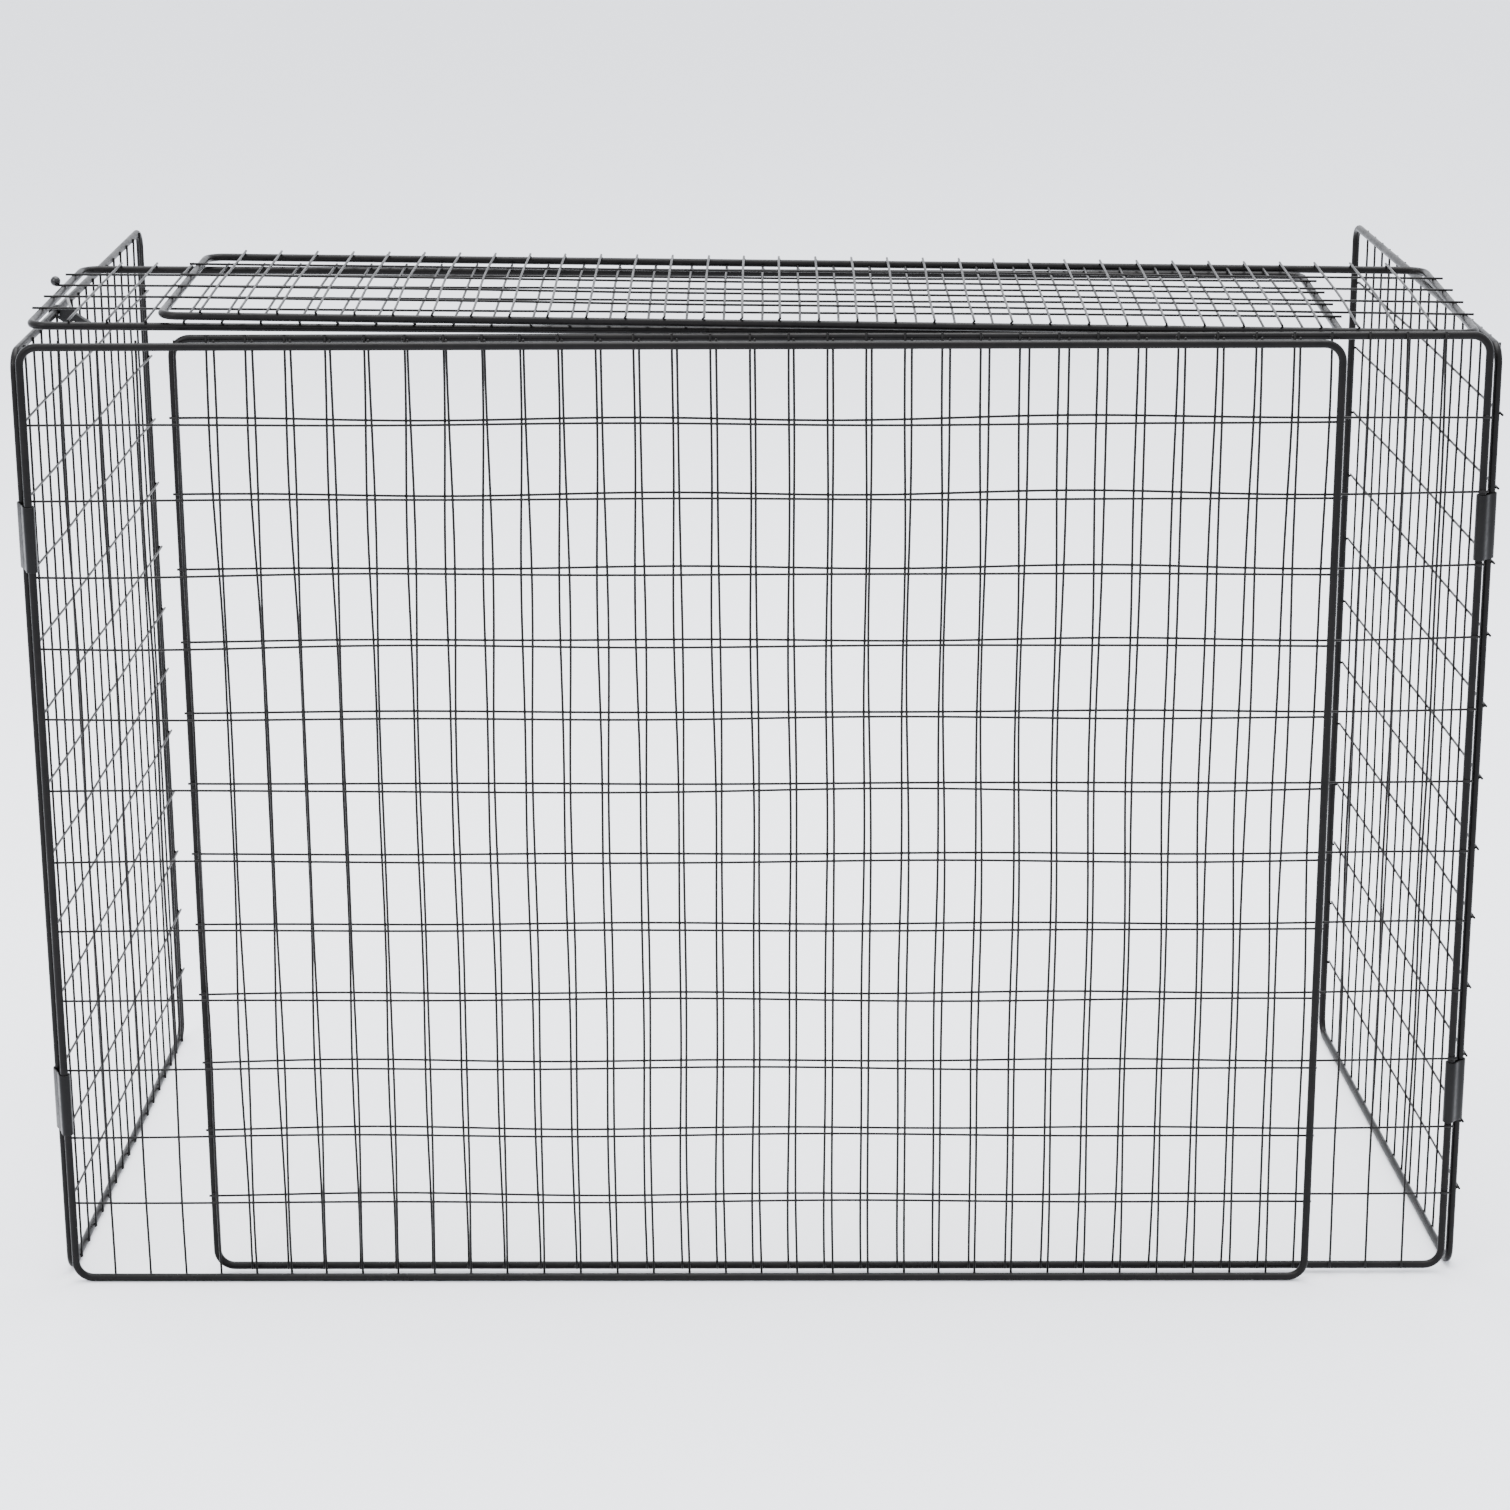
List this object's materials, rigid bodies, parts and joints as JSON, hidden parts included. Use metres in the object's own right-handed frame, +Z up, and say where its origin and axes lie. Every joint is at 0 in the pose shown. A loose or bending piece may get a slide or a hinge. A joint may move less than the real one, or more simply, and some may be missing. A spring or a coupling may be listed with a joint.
{
  "type": "wire dog enclosure",
  "caption": "Folding black wire-mesh dog enclosure: overlapping front panels that slide to widen it, hinged side panels in rolled sleeves, overlapping lid panels and a small lid clip.",
  "frame": {"origin": "centre of the bounding box at floor level, where the bottom rods stand", "axes": "+Z up; the front panels' faces look along -Y; +X is the viewer's right and the direction in which the right front panel slides out"},
  "size_m": [0.9888, 0.4694, 0.6951],
  "materials": {
    "coated_rod": "satin black powder coat or electrophoretic coat",
    "coated_wire": "satin black coat",
    "coated_sheet": "satin black coat over rolled sheet",
    "knob_plastic": "glossy black",
    "clip_plastic": "matt black",
    "bare_steel": "dull zinc-plated steel"
  },
  "bodies": {
    "front_left": {"front_left_rim": "coated_rod", "front_left_mesh": "coated_wire", "left_upper_sleeve": "coated_sheet", "left_lower_sleeve": "coated_sheet"},
    "front_right": {"front_right_rim": "coated_rod", "front_right_mesh": "coated_wire", "right_upper_sleeve": "coated_sheet", "right_lower_sleeve": "coated_sheet"},
    "left_side": {"left_side_rim": "coated_rod", "left_side_mesh": "coated_wire"},
    "right_side": {"right_side_rim": "coated_rod", "right_side_mesh": "coated_wire"},
    "lid_left": {"lid_left_rim": "coated_rod", "lid_left_mesh": "coated_wire", "lid_clip_ball": "knob_plastic"},
    "lid_right": {"lid_right_rim": "coated_rod", "lid_right_mesh": "coated_wire"},
    "lid_clip": {"lid_clip_body": "clip_plastic", "lid_clip_strap": "bare_steel", "lid_clip_pin": "bare_steel"}
  },
  "joints": [
    {"name": "front_slide", "type": "slide", "parent": "front_left", "child": "front_right", "axis": [1, 0, 0], "range_m": [0, 0.6]},
    {"name": "left_side_hinge", "type": "hinge", "parent": "front_left", "child": "left_side", "pos_m": [-0.49023, -0.21654, 0.33], "axis": [0, 0, 1], "range_deg": [-75, 90]},
    {"name": "right_side_hinge", "type": "hinge", "parent": "front_right", "child": "right_side", "pos_m": [0.48737, -0.20986, 0.33], "axis": [0, 0, 1], "range_deg": [-90, 85]},
    {"name": "lid_lift", "type": "slide", "parent": "front_left", "child": "lid_left", "axis": [0, 0, 1], "range_m": [0, 0.15]},
    {"name": "lid_slide", "type": "slide", "parent": "lid_left", "child": "lid_right", "axis": [1, 0, 0], "range_m": [0, 0.6]},
    {"name": "clip_hinge", "type": "hinge", "parent": "left_side", "child": "lid_clip", "pos_m": [-0.48596, -0.08081, 0.66424], "axis": [0.0314, 0.9995, 0], "range_deg": [0, 90]}
  ],
  "couplings": [
    {"joint": "lid_slide", "follows": "front_slide", "ratio": 1}
  ]
}
